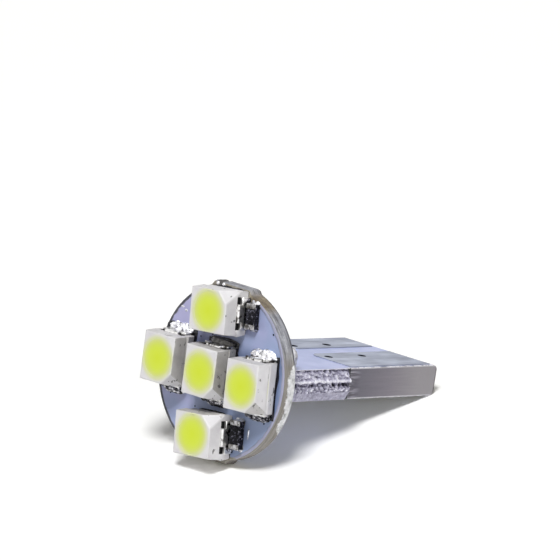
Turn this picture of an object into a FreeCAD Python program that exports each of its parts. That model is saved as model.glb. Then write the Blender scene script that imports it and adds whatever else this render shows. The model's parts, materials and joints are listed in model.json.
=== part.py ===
import FreeCAD, Part
import math
import os

from FreeCAD import Vector

# A wedge base LED bulb built from two printed circuit boards.
# A round board carries five surface-mount LEDs and two chip resistors. A second,
# thicker board is soldered square to its back and is the wedge that a lamp socket grips.
#
# The bulb is modelled upright: X across the row of LEDs, Z up the column of LEDs,
# and Y from the front of the round board (y = 0) towards the end of the wedge.
# At the end it is laid down as it comes to rest, on the round board's lower tab
# and on the far end of the wedge. All sizes are in millimetres.

# LED package
body_width = 2.8
body_length = 3.2
body_height = 1.9
body_wall_offset = 0.06   # each wall leans in by this much above the parting line
body_lift_height = 0.08   # the moulding stands clear of the board
parting_height = 1.0
cup_wall_width = 0.2      # between the reflector cup and the sides, at the face
cup_taper_width = 0.25
phosphor_recess_depth = 0.03
mark_leg_length = 0.9     # corner cut that marks the cathode
mark_depth = 1.2
lead_thickness = 0.15
lead_side_margin = 0.375
lead_shoulder_height = 0.68
lead_foot_length = 0.6
paddle_side_margin = 0.6
paddle_end_margin = 0.35  # wall of moulding round the end of each paddle
pocket_width = 0.45       # moulded pockets beside each neck
pocket_depth = 0.3
cathode_paddle_length = 0.25
paddle_gap_width = 0.2
chip_width = 0.35
chip_thickness = 0.1
wire_radius = 0.025
wire_end_margin = 0.25
wire_rise_height = 0.3

# Solder on the LED leads
solder_height = 0.45
solder_side_margin = 0.05
usual_solder_length = 0.3
wide_solder_length = 0.55     # generous joints above the two outer LEDs
crowded_solder_length = 0.06  # joints that share their copper with a resistor

# Places of the LEDs on the round board
row_gap_width = 0.95
column_gap_width = 0.8
led_edge_margin = 0.15    # outside the upper and the lower LED
center_led_rise = 0.08    # how far each LED sits from its grid point, as it was placed
left_led_rise = 0.1
right_led_slip = -0.07
bottom_led_slip = 0.15
bottom_led_rise = 0.1
center_turn_angle = 1     # degrees
left_turn_angle = 1
right_turn_angle = 3
top_turn_angle = 94.5
bottom_turn_angle = 95

# Chip resistors, beside the cathode end of the upper and the lower LED
upper_resistor_length = 1.6
upper_resistor_width = 0.8
upper_resistor_height = 0.45
upper_cap_length = 0.3
upper_resistor_inset = 0.5    # from the inner side of its LED to its inner end
lower_resistor_length = 1.8
lower_resistor_width = 0.85
lower_resistor_height = 0.5
lower_cap_length = 0.3
lower_resistor_inset = 0.25
resistor_gap_width = 0.04     # to the solder of the LED that it stands against
resistor_plating_thickness = 0.03
resistor_solder_length = 0.15
resistor_solder_share = 0.8   # of the resistor's height

# Round LED board
board_thickness = 1.0
tab_rise_height = 0.05    # the snapped tabs end this far beyond the round outline
tab_width = 2.95
tab_flare_width = 0.8     # on each side, where the tab runs into the round outline
tab_flare_depth = 1.0
tab_offset = -0.075       # of both tabs, left of the disc's middle
tab_score_depth = 0.15    # V-groove in each face, along the break line
tab_score_width = 0.1
edge_via_offset = -1.05   # from the middle of the upper tab, in its broken edge
edge_via_radius = 0.28
edge_via_wall_thickness = 0.09

# Wedge board
wedge_thickness = 2.1     # over the contacts
wedge_width = 8.0
wedge_length = 14.4
wedge_bevel_length = 0.2  # lead-in at the far end, above and below
shoulder_length = 6.0
shoulder_step_width = 0.6     # on each side, out to the broken web
score_width = 0.45            # V-groove in each face of the shoulder's edges
score_depth = 0.65
router_radius = 0.5       # left by the cutter where the shoulder meets the insert
break_pitch_length = 0.62     # spacing of the bites in the broken web
break_depth = 0.22
break_height = 0.35
least_bite_share = 0.1
bite_strides = (2.4, 1.7, 3.1)    # steps in radians that keep the bites uneven

# Contacts of the wedge
contact_thickness = 0.06
contact_start_margin = 0.6    # from the shoulder
contact_end_margin = 0.3      # from the lead-in bevel
contact_side_margin = 0.2
left_contact_inner_offset = -1.3
right_contact_inner_offset = 0.2
contact_corner_radius = 0.5
via_radius = 0.36
via_wall_thickness = 0.09
left_via_margin = 0.7         # from the contact's inner edge
right_via_margin = 0.95
via_start_margin = 0.7        # from the contact's edge nearest the shoulder
via_pitch_length = 3.05

# Solder between the two boards
joint_width = 1.3
joint_length = 1.3        # along the wedge
joint_height = 1.4        # up the back of the round board
joint_side_margin = 0.8   # from the edge of the shoulder's face

# A solder fillet, as shares of its size: its profile, and how full it is along its width
fillet_profile = ((0, 0), (1, 0), (0.62, 0.2), (0.3, 0.52), (0, 1))
fillet_swell = ((-0.5, 0.55), (-0.3, 0.95), (0, 0.85), (0.3, 1), (0.5, 0.6))

overcut_length = 0.1      # how far a cutting shape runs past what it cuts

# Sizes that follow from the ones above
lead_face = body_length / 2 + lead_thickness
lead_width = body_width - 2 * lead_side_margin
neck_width = lead_width - 2 * pocket_width
paddle_width = body_width - 2 * paddle_side_margin
cup_radius = body_width / 2 - cup_wall_width
cup_floor_radius = cup_radius - cup_taper_width
floor_height = parting_height
row_pitch = body_width + row_gap_width
column_pitch = lead_face + column_gap_width + body_width / 2
board_radius = column_pitch + body_width / 2 + led_edge_margin
tab_reach = board_radius + tab_rise_height
edge_via_x = tab_offset + edge_via_offset
core_thickness = wedge_thickness - 2 * contact_thickness
core_half = core_thickness / 2
web_half = core_half - score_depth
web_x = wedge_width / 2 + shoulder_step_width
shoulder_face_x = web_x - score_width
shoulder_end = board_thickness + shoulder_length
wedge_end = board_thickness + wedge_length
contact_start = shoulder_end + contact_start_margin
contact_end = wedge_end - wedge_bevel_length - contact_end_margin
contact_outer = wedge_width / 2 - contact_side_margin
left_via_x = left_contact_inner_offset - left_via_margin
right_via_x = right_contact_inner_offset + right_via_margin
via_rows = (contact_start + via_start_margin, contact_start + via_start_margin + via_pitch_length)
joint_x = shoulder_face_x - joint_side_margin

# LED places: x, z and turn, then the length of solder at the anode and at the cathode
led_places = {
    "center": (0, center_led_rise, center_turn_angle, usual_solder_length, usual_solder_length),
    "left": (-row_pitch, left_led_rise, left_turn_angle, wide_solder_length, usual_solder_length),
    "right": (row_pitch + right_led_slip, 0, right_turn_angle, wide_solder_length, usual_solder_length),
    "top": (0, column_pitch, top_turn_angle, usual_solder_length, crowded_solder_length),
    "bottom": (bottom_led_slip, bottom_led_rise - column_pitch, bottom_turn_angle,
               usual_solder_length, crowded_solder_length),
}

origin = Vector(0, 0, 0)
x_axis = Vector(1, 0, 0)
y_axis = Vector(0, 1, 0)
z_axis = Vector(0, 0, 1)
nodes = {}


def box(x_range, y_range, z_range):
    """Block between two limits on each axis."""
    corner = Vector(x_range[0], y_range[0], z_range[0])
    lengths = [high - low for low, high in (x_range, y_range, z_range)]
    return Part.makeBox(*lengths, corner)


def face_of(points):
    """Flat face inside a closed outline of straight edges."""
    return Part.Face(Part.makePolygon(list(points) + [points[0]]))


def turned(shape, angle, axis):
    result = shape.copy()
    result.rotate(origin, axis, angle)
    return result


def moved(shape, x=0, y=0, z=0):
    result = shape.copy()
    result.translate(Vector(x, y, z))
    return result


def mirrored(shape, normal):
    return shape.mirror(origin, normal)


def on_board(shape, led):
    """Stand a piece, modelled round an LED's centre on the XY plane, onto the front of the round board."""
    x, z, turn = led_places[led][:3]
    standing = turned(turned(shape, turn, z_axis), 90, x_axis)
    return moved(standing, x, 0, z)


# Round LED board

def tab_outline(side):
    """Face of one tab, from inside the disc out to its break line."""
    half = tab_width / 2
    foot = half + tab_flare_width
    foot_reach = board_radius - tab_flare_depth
    corners = [(-foot, 0), (-foot, foot_reach), (-half, tab_reach),
               (half, tab_reach), (foot, foot_reach), (foot, 0)]
    return face_of([Vector(tab_offset + x, 0, side * z) for x, z in corners])


def tab_score(side, front):
    """Wedge of material that the V-groove took off one face of a tab."""
    y_face = 0 if front else board_thickness
    inward = 1 if front else -1
    slope = tab_score_width / tab_score_depth
    section = [(-overcut_length, -tab_score_width - overcut_length * slope),
               (-overcut_length, overcut_length),
               (tab_score_depth + overcut_length / slope, overcut_length)]
    points = [Vector(0, y_face + inward * depth, side * (tab_reach + rise)) for depth, rise in section]
    length = tab_width + 2 * tab_flare_width
    groove = face_of(points).extrude(Vector(length, 0, 0))
    return moved(groove, tab_offset - length / 2)


def make_led_board():
    blank = Part.makeCylinder(board_radius, board_thickness, origin, y_axis)
    for side in (1, -1):
        blank = blank.fuse(tab_outline(side).extrude(Vector(0, board_thickness, 0)))
    for side in (1, -1):
        for front in (True, False):
            blank = blank.cut(tab_score(side, front))
    blank = blank.removeSplitter()
    via_place = Vector(edge_via_x, 0, tab_reach)
    hole = Part.makeCylinder(edge_via_radius, board_thickness, via_place, y_axis)
    bore_radius = edge_via_radius - edge_via_wall_thickness
    bore = Part.makeCylinder(bore_radius, board_thickness, via_place, y_axis)
    nodes["led_board"] = blank.cut(hole)
    nodes["edge_via_plating"] = hole.cut(bore).common(blank)


# Wedge board

def shoulder_section():
    """Section across the shoulder: V-grooves above and below a web that was snapped."""
    right = [(shoulder_face_x, -core_half), (web_x, -web_half),
             (web_x, web_half), (shoulder_face_x, core_half)]
    left = [(-x, z) for x, z in reversed(right)]
    return face_of([Vector(x, board_thickness, z) for x, z in right + left])


def uneven(index, stride):
    """Share from 0 to 1 that differs from one bite to the next."""
    return (1 + math.sin(index * stride)) / 2


def web_bites(side):
    """Irregular row of bites along one snapped web."""
    count = int(shoulder_length / break_pitch_length)
    pitch = shoulder_length / count
    bites = []
    for index in range(count):
        place = index if side > 0 else index + count
        depth = break_depth * max(least_bite_share, uneven(place, bite_strides[0]))
        low = -web_half * uneven(place, bite_strides[1])
        height = break_height * (1 + uneven(place, bite_strides[2])) / 2
        start = board_thickness + index * pitch
        outline = face_of([Vector(side * (web_x - depth), start + pitch / 2, low),
                           Vector(side * (web_x + overcut_length), start, low),
                           Vector(side * (web_x + overcut_length), start + pitch, low)])
        bites.append(outline.extrude(Vector(0, 0, height)))
    return bites


def router_corner(side):
    """Material that the round cutter left in the corner between shoulder and insert."""
    x_low = wedge_width / 2
    x_high = x_low + router_radius
    y_high = shoulder_end + router_radius
    block = box((x_low, x_high), (shoulder_end, y_high), (-core_half, core_half))
    corner = block.cut(Part.makeCylinder(router_radius, core_thickness, Vector(x_high, y_high, -core_half)))
    corner = corner.common(shoulder_section().extrude(Vector(0, wedge_length, 0)))
    return corner if side > 0 else mirrored(corner, x_axis)


def make_wedge_board():
    half = wedge_width / 2
    bevel_start = wedge_end - wedge_bevel_length
    bevel_half = core_half - wedge_bevel_length
    profile = [(board_thickness, -core_half), (bevel_start, -core_half), (wedge_end, -bevel_half),
               (wedge_end, bevel_half), (bevel_start, core_half), (board_thickness, core_half)]
    insert = face_of([Vector(-half, y, z) for y, z in profile]).extrude(Vector(wedge_width, 0, 0))
    shoulder = shoulder_section().extrude(Vector(0, shoulder_length, 0))
    board = insert.fuse([shoulder, router_corner(1), router_corner(-1)]).removeSplitter()
    board = board.cut(web_bites(1) + web_bites(-1))
    for x in (left_via_x, right_via_x):
        for row in via_rows:
            board = board.cut(Part.makeCylinder(via_radius, core_thickness, Vector(x, row, -core_half)))
    nodes["wedge_board"] = board


def contact_pad(inner, outer):
    """Outline of one tinned contact, rounded at its inner corner next to the shoulder."""
    side = 1 if outer > inner else -1
    near = Vector(inner, contact_start + contact_corner_radius, 0)
    past = Vector(inner + side * contact_corner_radius, contact_start, 0)
    swing = contact_corner_radius * (1 - math.sqrt(0.5))
    middle = Vector(inner + side * swing, contact_start + swing, 0)
    corners = [past, Vector(outer, contact_start, 0), Vector(outer, contact_end, 0),
               Vector(inner, contact_end, 0), near]
    corner_arc = Part.Arc(near, middle, past).toShape()
    return Part.Face(Part.Wire([corner_arc] + Part.makePolygon(corners).Edges))


def make_contact(name, inner, outer, via_x):
    """Tin over copper: a pad on each face and the plated holes that join them."""
    pad = contact_pad(inner, outer).extrude(Vector(0, 0, contact_thickness))
    upper = moved(pad, z=core_half)
    lower = moved(pad, z=-core_half - contact_thickness)
    barrels = []
    bores = []
    for row in via_rows:
        start = Vector(via_x, row, -wedge_thickness / 2)
        barrels.append(Part.makeCylinder(via_radius, wedge_thickness, start))
        bores.append(Part.makeCylinder(via_radius - via_wall_thickness, wedge_thickness, start))
    contact = upper.fuse([lower] + barrels).cut(bores)
    nodes[name] = contact.removeSplitter()


# Solder joints

def solder_fillet(width, reach, height):
    """Concave fillet on the XY plane, against a wall at y = 0."""
    sections = []
    for place, swell in fillet_swell:
        points = [Vector(place * width, y * reach * swell, z * height * swell) for y, z in fillet_profile]
        sections.append(Part.makePolygon(points + [points[0]]))
    return Part.makeLoft(sections, True, True)


def make_board_joints():
    """Four fillets that hold the wedge square to the back of the round board."""
    fillet = solder_fillet(joint_width, joint_height, joint_length)
    upright = turned(fillet, 180, Vector(0, 1, 1))
    for height, level in (("upper", 1), ("lower", -1)):
        for side, x in (("left", -joint_x), ("right", joint_x)):
            joint = upright if level > 0 else turned(upright, 180, y_axis)
            nodes[f"joint_solder_{height}_{side}"] = moved(joint, x, board_thickness, level * core_half)


# LED package, modelled on the XY plane with its long side along Y

def lead_blank(paddle_end):
    """Flat strip bent down the end wall and folded under the body, at the +Y end."""
    inner = lead_face - lead_thickness
    swing = lead_thickness * math.sqrt(0.5)
    under = floor_height - lead_thickness
    foot_end = lead_face - lead_foot_length

    def at(y, z):
        return Vector(0, y, z)

    upper_bend = Part.Arc(at(inner, floor_height), at(inner + swing, under + swing), at(lead_face, under))
    lower_middle = at(inner + swing, lead_thickness - swing)
    lower_bend = Part.Arc(at(lead_face, lead_thickness), lower_middle, at(inner, 0))
    edges = [
        Part.makeLine(at(paddle_end, floor_height), at(inner, floor_height)),
        upper_bend.toShape(),
        Part.makeLine(at(lead_face, under), at(lead_face, lead_thickness)),
        lower_bend.toShape(),
        Part.makeLine(at(inner, 0), at(foot_end, 0)),
        Part.makeLine(at(foot_end, 0), at(foot_end, lead_thickness)),
        Part.makeLine(at(foot_end, lead_thickness), at(inner, lead_thickness)),
        Part.makeLine(at(inner, lead_thickness), at(inner, under)),
        Part.makeLine(at(inner, under), at(paddle_end, under)),
        Part.makeLine(at(paddle_end, under), at(paddle_end, floor_height)),
    ]
    strip = Part.Face(Part.Wire(edges)).extrude(Vector(lead_width, 0, 0))
    return moved(strip, -lead_width / 2)


def make_lead(paddle_end):
    """Lead with its neck cut narrow where it leaves the moulding."""
    lead = lead_blank(paddle_end)
    wall = body_length / 2 - paddle_end_margin
    past_top = floor_height + overcut_length
    for side in (1, -1):
        edge = side * (lead_width / 2 + overcut_length)
        beside_neck = sorted((side * neck_width / 2, edge))
        beside_paddle = sorted((side * paddle_width / 2, edge))
        neck_cut = box(beside_neck, (wall, lead_face + overcut_length), (lead_shoulder_height, past_top))
        paddle_cut = box(beside_paddle, (paddle_end - overcut_length, wall), (lead_shoulder_height, past_top))
        lead = lead.cut([neck_cut, paddle_cut])
    return lead


def body_outline(inset, height):
    half_width = body_width / 2 - inset
    half_length = body_length / 2 - inset
    corners = [(-half_width, -half_length), (half_width, -half_length),
               (half_width, half_length), (-half_width, half_length)]
    points = [Vector(x, y, height) for x, y in corners]
    return Part.makePolygon(points + [points[0]])


def cathode_mark():
    """Corner of the moulding that is cut away along a slanted plane."""
    past = overcut_length
    growth = 1 + 2 * past / mark_leg_length + past / mark_depth
    peak = Vector(body_width / 2 + past, -body_length / 2 - past, body_height + past)
    along_x = peak - Vector(mark_leg_length * growth, 0, 0)
    along_y = peak + Vector(0, mark_leg_length * growth, 0)
    down = peak - Vector(0, 0, mark_depth * growth)
    corners = [(peak, along_x, along_y), (peak, along_x, down),
               (peak, along_y, down), (along_x, along_y, down)]
    shell = Part.makeShell([face_of(points) for points in corners])
    return Part.makeSolid(shell)


def make_housing(leads):
    """White moulding with its reflector cup, cut round the leads that it is moulded on."""
    half_width = body_width / 2
    half_length = body_length / 2
    base = box((-half_width, half_width), (-half_length, half_length), (body_lift_height, parting_height))
    parting = body_outline(0, parting_height)
    upper = Part.makeLoft([parting, body_outline(body_wall_offset, body_height)], True, True)
    housing = base.fuse(upper).removeSplitter()
    cup = Part.makeCone(cup_floor_radius, cup_radius, body_height - floor_height, Vector(0, 0, floor_height))
    housing = housing.cut([cup, cathode_mark()])
    for end in (1, -1):
        for side in (1, -1):
            across = sorted((side * neck_width / 2, side * lead_width / 2))
            along = sorted((end * (half_length - pocket_depth), end * (half_length + overcut_length)))
            housing = housing.cut(box(across, along, (lead_shoulder_height, floor_height)))
    return housing.cut(leads)


def make_bond_wire():
    """Fine wire that rises from the chip and comes down on the anode's paddle."""
    start = floor_height + chip_thickness
    peak = start + wire_rise_height
    landing = cup_floor_radius - wire_end_margin
    path = Part.makePolygon([Vector(0, 0, start), Vector(0, 0, peak),
                             Vector(0, landing, start), Vector(0, landing, floor_height)])
    sides = 6
    angles = [index * 2 * math.pi / sides for index in range(sides + 1)]
    corners = [Vector(wire_radius * math.cos(turn), wire_radius * math.sin(turn), start) for turn in angles]
    return path.makePipeShell([Part.makePolygon(corners)], True, True, 1)


def make_phosphor(chip, wire):
    """Silicone that fills the cup almost to its rim, cast over the chip and its wire."""
    depth = body_height - floor_height
    fill = depth - phosphor_recess_depth
    rim = cup_floor_radius + cup_taper_width * fill / depth
    return Part.makeCone(cup_floor_radius, rim, fill, Vector(0, 0, floor_height)).cut([chip, wire])


def make_led(name):
    """One LED with everything that is soldered or cast into it."""
    anode_length, cathode_length = led_places[name][3:]
    anode = make_lead(cathode_paddle_length + paddle_gap_width)
    cathode = turned(make_lead(-cathode_paddle_length), 180, z_axis)
    across = (-chip_width / 2, chip_width / 2)
    chip = box(across, across, (floor_height, floor_height + chip_thickness))
    wire = make_bond_wire()
    solder_width = lead_width - 2 * solder_side_margin
    anode_solder = moved(solder_fillet(solder_width, anode_length, solder_height), y=lead_face)
    cathode_solder = moved(solder_fillet(solder_width, cathode_length, solder_height), y=lead_face)
    pieces = {
        "led_housing": make_housing([anode, cathode]),
        "led_phosphor": make_phosphor(chip, wire),
        "led_anode": anode,
        "led_cathode": cathode,
        "led_chip": chip,
        "led_bond_wire": wire,
        "anode_solder": anode_solder,
        "cathode_solder": turned(cathode_solder, 180, z_axis),
    }
    for kind, shape in pieces.items():
        nodes[f"{kind}_{name}"] = on_board(shape, name)


# Chip resistors

def make_resistor(name, led, length, width, height, cap_length, inset):
    """Ceramic body, two plated end caps and their solder, beside the cathode end of an LED."""
    cathode_length = led_places[led][4]
    inner_end = -1 if name == "upper" else 1
    half = length / 2
    slide = inner_end * (body_width / 2 - inset - half)
    half_width = width / 2
    plating = resistor_plating_thickness
    core = box((plating - half, half - plating), (-half_width, half_width), (plating, height - plating))
    side_y = -(lead_face + cathode_length + resistor_gap_width + half_width)
    pieces = {f"{name}_resistor": core}
    for end, sign in (("inner", inner_end), ("outer", -inner_end)):
        reach = sorted((sign * (half - cap_length), sign * half))
        cap = box(reach, (-half_width, half_width), (0, height)).cut(core)
        solder_width = width - 2 * solder_side_margin
        fillet = solder_fillet(solder_width, resistor_solder_length, resistor_solder_share * height)
        pieces[f"{name}_resistor_cap_{end}"] = cap
        pieces[f"{name}_resistor_solder_{end}"] = turned(moved(fillet, y=half), -90 * sign, z_axis)
    for node, shape in pieces.items():
        nodes[node] = on_board(moved(shape, slide, side_y), led)


# The bulb lies on the lower tab's inner edge and on the wedge's far lower edge

def lay_down():
    tab_y = board_thickness - tab_score_depth
    wedge_y = wedge_end - wedge_bevel_length
    tilt = math.degrees(math.atan2(tab_reach - core_half, wedge_y - tab_y))
    for name in nodes:
        nodes[name] = turned(nodes[name], -tilt, x_axis)
    bounds = FreeCAD.BoundBox()
    for shape in nodes.values():
        bounds.add(shape.optimalBoundingBox(False))
    for name in nodes:
        nodes[name] = moved(nodes[name], -bounds.Center.x, -bounds.Center.y, -bounds.ZMin)
    print(f"tilt {tilt:.2f} degrees, size {bounds.XLength:.3f} x {bounds.YLength:.3f} x {bounds.ZLength:.3f}")
    print(f"moved by {-bounds.Center.x:.4f}, {-bounds.Center.y:.4f}, {-bounds.ZMin:.4f}")


make_led_board()
make_wedge_board()
make_contact("left_contact", left_contact_inner_offset, -contact_outer, left_via_x)
make_contact("right_contact", right_contact_inner_offset, contact_outer, right_via_x)
make_board_joints()
for led_name in led_places:
    make_led(led_name)
make_resistor("upper", "top", upper_resistor_length, upper_resistor_width, upper_resistor_height,
              upper_cap_length, upper_resistor_inset)
make_resistor("lower", "bottom", lower_resistor_length, lower_resistor_width, lower_resistor_height,
              lower_cap_length, lower_resistor_inset)
lay_down()

os.makedirs("parts", exist_ok=True)
for node, shape in nodes.items():
    shape.exportStep(f"parts/{node}.step")
    state = "valid" if shape.isValid() else "INVALID"
    print(node, len(shape.Solids), "solid", round(shape.Volume, 4), "mm3", state)
print(len(nodes), "nodes")
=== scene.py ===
import bmesh
import bpy
import json
import math
from mathutils import Matrix, Vector, noise


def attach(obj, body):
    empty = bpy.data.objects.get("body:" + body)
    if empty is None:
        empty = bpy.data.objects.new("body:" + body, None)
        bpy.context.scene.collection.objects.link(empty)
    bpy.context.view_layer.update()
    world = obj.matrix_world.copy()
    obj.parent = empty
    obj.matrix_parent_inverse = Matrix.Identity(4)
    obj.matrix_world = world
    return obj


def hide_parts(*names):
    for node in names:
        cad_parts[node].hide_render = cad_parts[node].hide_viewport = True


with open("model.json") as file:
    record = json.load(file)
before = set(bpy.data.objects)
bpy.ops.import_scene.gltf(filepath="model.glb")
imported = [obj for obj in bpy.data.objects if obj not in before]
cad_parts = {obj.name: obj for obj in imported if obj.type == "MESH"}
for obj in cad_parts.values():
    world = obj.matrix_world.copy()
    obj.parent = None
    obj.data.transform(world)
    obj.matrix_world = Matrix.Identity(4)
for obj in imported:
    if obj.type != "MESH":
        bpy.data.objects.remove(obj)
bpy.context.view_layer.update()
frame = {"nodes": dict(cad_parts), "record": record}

# New pieces are modelled upright in millimetres and laid down at the end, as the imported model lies:
# X along the row of LEDs, Z up their column, Y from the front of the round board to the end of the wedge.
bulb = {
    "wedgeEnd": 15.4,
    "boardRadius": 5.5,
    "boardThickness": 1.0,
    "coreHalf": 0.99,  # half the thickness of the wedge's laminate
    "shoulderEnd": 7.0,
}

mounts = {mount["name"]: mount for mount in frame["record"]["mounts"]}
backward = Vector(mounts["wedge_end_face"]["axis"])
upward = Vector(mounts["wedge_upper_face"]["axis"])
rightward = backward.cross(upward)
frontCentre = Vector(mounts["wedge_end_face"]["pos_m"]) - backward * bulb["wedgeEnd"] / 1000
axes = Matrix((rightward, backward, upward)).transposed().to_4x4()
lieDown = Matrix.Translation(frontCentre) @ axes @ Matrix.Scale(0.001, 4)

# x, z and turn in degrees of each LED on the board
ledPlaces = {
    "center": (0, 0.08, 1),
    "left": (-3.75, 0.1, 1),
    "right": (3.68, 0, 3),
    "top": (0, 3.95, 94.5),
    "bottom": (0.15, -3.85, 95),
}


def ledPlacement(name):
    x, z, turn = ledPlaces[name]
    stand = Matrix.Rotation(math.radians(90), 4, "X")
    return Matrix.Translation((x, 0, z)) @ stand @ Matrix.Rotation(math.radians(turn), 4, "Z")


def placeObject(name, data):
    placed = bpy.data.objects.new(name, data)
    bpy.context.scene.collection.objects.link(placed)
    return placed


# Camera

camera = {
    "place": (206.843, -214.196, 53.240),
    "view": (-0.67940, 0.71702, -0.15585),
    "right": (0.70270, 0.69694, 0.14314),
    "lens": 314.16,
    "sensor": 36,
    "clip": (0.01, 10),
}


def makeCamera():
    data = bpy.data.cameras.new("photoCamera")
    data.lens = camera["lens"]
    data.sensor_width = camera["sensor"]
    data.clip_start, data.clip_end = camera["clip"]
    view = Vector(camera["view"]).normalized()
    right = Vector(camera["right"]).normalized()
    turn = axes @ Matrix((right, right.cross(view), -view)).transposed().to_4x4()
    viewer = placeObject("photoCamera", data)
    viewer.matrix_world = Matrix.Translation(lieDown @ Vector(camera["place"])) @ turn
    bpy.context.scene.camera = viewer


# Materials

def toLinear(hexColour):
    channels = [int(hexColour[start:start + 2], 16) / 255 for start in (1, 3, 5)]
    return [c / 12.92 if c <= 0.04045 else ((c + 0.055) / 1.055) ** 2.4 for c in channels] + [1]


def socketOf(source):
    # A node stands for its first output, or for the colour that it mixes
    if isinstance(source, bpy.types.NodeSocket):
        return source
    return source.outputs[2 if getattr(source, "data_type", "") == "RGBA" else 0]


def addNode(tree, kind, inputs=None, stops=()):
    # A kind may name its operation or type of data after a colon. Inputs are links, values and properties,
    # or a tuple of the first inputs, which for a colour mix are its share and two colours. Stops are a ramp's.
    kind, colon, variant = kind.partition(":")
    node = tree.nodes.new("ShaderNode" + kind)
    if variant:
        setattr(node, "data_type" if kind == "Mix" else "operation", variant)
    if isinstance(inputs, tuple):
        inputs = dict(zip((0, 6, 7) if kind == "Mix" else range(len(inputs)), inputs))
    for key, value in (inputs or {}).items():
        if isinstance(value, str) and value.startswith("#"):
            value = toLinear(value)
        if isinstance(value, (bpy.types.Node, bpy.types.NodeSocket)):
            tree.links.new(socketOf(value), node.inputs[key])
        elif isinstance(key, str) and hasattr(node, key):
            setattr(node, key, value)
        else:
            node.inputs[key].default_value = value
    for index, (position, colour) in enumerate(stops):
        elements = node.color_ramp.elements
        element = elements[index] if index < len(elements) else elements.new(1)
        element.position = position
        element.color = toLinear(colour) if isinstance(colour, str) else (colour, colour, colour, 1)
    return node


def startMaterial(name, settings):
    material = bpy.data.materials.new(name)
    material.use_nodes = True
    tree = material.node_tree
    tree.nodes.clear()
    shader = addNode(tree, "BsdfPrincipled", settings)
    addNode(tree, "OutputMaterial", {"Surface": shader})
    return material, tree, shader


def bulbPlace(tree, stretch=(1, 1, 1)):
    # Object coordinates turned to the upright bulb, in millimetres
    toBulb = lieDown.inverted()
    place = addNode(tree, "TexCoord")
    settings = {"Location": toBulb.to_translation(), "Rotation": toBulb.to_euler(), "Scale": toBulb.to_scale()}
    upright = addNode(tree, "Mapping", {0: place.outputs["Object"], **settings})
    return addNode(tree, "Mapping", {0: upright, "Scale": stretch}) if stretch != (1, 1, 1) else upright


def paint(tree, shader, colour, relief, depth):
    # The relief's depth is in millimetres, and with none the surface is smooth
    tree.links.new(socketOf(colour), shader.inputs["Base Color"])
    if depth:
        bumped = addNode(tree, "Bump", {"Height": relief, "Distance": depth / 1000})
        tree.links.new(bumped.outputs[0], shader.inputs["Normal"])


def fromCup(tree):
    # Distance from the middle of an LED's face, in the units of ledPlan
    plan = addNode(tree, "UVMap", {"uv_map": "ledPlan"})
    return addNode(tree, "VectorMath:LENGTH", {0: plan}).outputs["Value"]


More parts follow.
